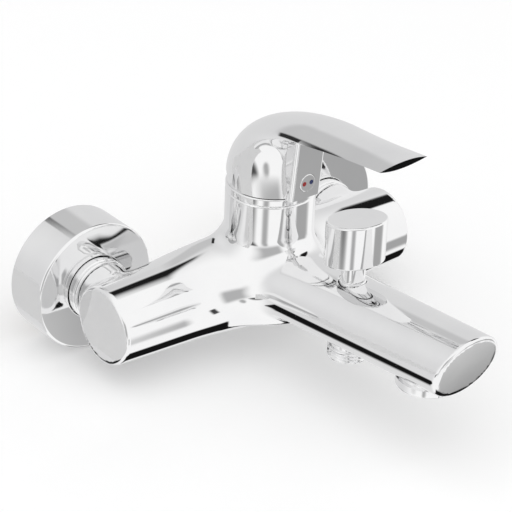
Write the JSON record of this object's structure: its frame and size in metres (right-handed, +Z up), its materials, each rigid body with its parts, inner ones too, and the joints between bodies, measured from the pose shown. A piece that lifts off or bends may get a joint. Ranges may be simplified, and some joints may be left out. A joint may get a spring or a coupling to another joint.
{
  "type": "wall mounted bath faucet",
  "caption": "Chromed single-lever bath mixer for a wall, with a fixed rising spout, a pull-up diverter, a threaded shower outlet and drum rosettes over the wall unions.",
  "frame": {"origin": "on the wall face, midway between the two supply threads", "axes": "+X along the body to the right of a person facing it, -Y away from the wall along the spout, +Z up"},
  "size_m": [0.2186, 0.233, 0.1409],
  "materials": {
    "chrome": "polished plating",
    "brass": "turned",
    "steel": "turned",
    "rubber": "smooth",
    "plastic": "moulded",
    "ceramic": "lapped",
    "red_enamel": "enamel",
    "dark_enamel": "enamel"
  },
  "bodies": {
    "faucet_body": {"mixer_body": "chrome", "s_union_left": "brass", "s_union_right": "brass", "wall_rosette_left": "chrome", "wall_rosette_right": "chrome", "rosette_ring_left": "rubber", "rosette_ring_right": "rubber", "union_nut_left": "chrome", "union_nut_right": "chrome", "inlet_gasket_left": "rubber", "inlet_gasket_right": "rubber", "inlet_tail_left": "brass", "inlet_tail_right": "brass", "port_seals": "rubber", "cartridge_base": "plastic", "fixed_disc": "ceramic", "cartridge_case": "plastic", "cartridge_nut": "brass", "cartridge_shroud": "chrome", "diverter_bonnet": "chrome", "bonnet_ring": "rubber", "shower_nipple": "chrome", "aerator_shell": "chrome", "aerator_insert": "plastic", "aerator_gasket": "rubber"},
    "cartridge_turntable": {"cartridge_rotor": "plastic", "spindle_pin": "steel"},
    "lever": {"lever_spindle": "steel", "lever_handle": "chrome", "handle_grub_screw": "steel", "index_plug": "chrome", "hot_mark": "red_enamel", "cold_mark": "dark_enamel"},
    "mixing_disc": {"moving_disc": "ceramic", "disc_carrier": "plastic"},
    "diverter_pull": {"diverter_knob": "chrome", "diverter_stem": "steel", "diverter_valve": "rubber", "diverter_spring": "steel"}
  },
  "joints": [
    {"name": "lever_turn", "type": "hinge", "parent": "faucet_body", "child": "cartridge_turntable", "pos_m": [0, -0.069, 0.036], "axis": [0, 0, 1], "range_deg": [-45, 45]},
    {"name": "lever_lift", "type": "hinge", "parent": "cartridge_turntable", "child": "lever", "pos_m": [0, -0.069, 0.036], "axis": [-1, 0, 0], "range_deg": [0, 18]},
    {"name": "disc_slide", "type": "slide", "parent": "cartridge_turntable", "child": "mixing_disc", "axis": [0, -1, 0], "range_m": [0, 0.003]},
    {"name": "diverter_lift", "type": "slide", "parent": "faucet_body", "child": "diverter_pull", "axis": [0, 0, 1], "range_m": [0, 0.0059], "stiffness_N_per_m": 150, "springref_m": -0.004, "deforming": ["diverter_spring"]}
  ],
  "couplings": [
    {"joint": "disc_slide", "follows": "lever_lift", "m_per_rad": 0.00925}
  ]
}
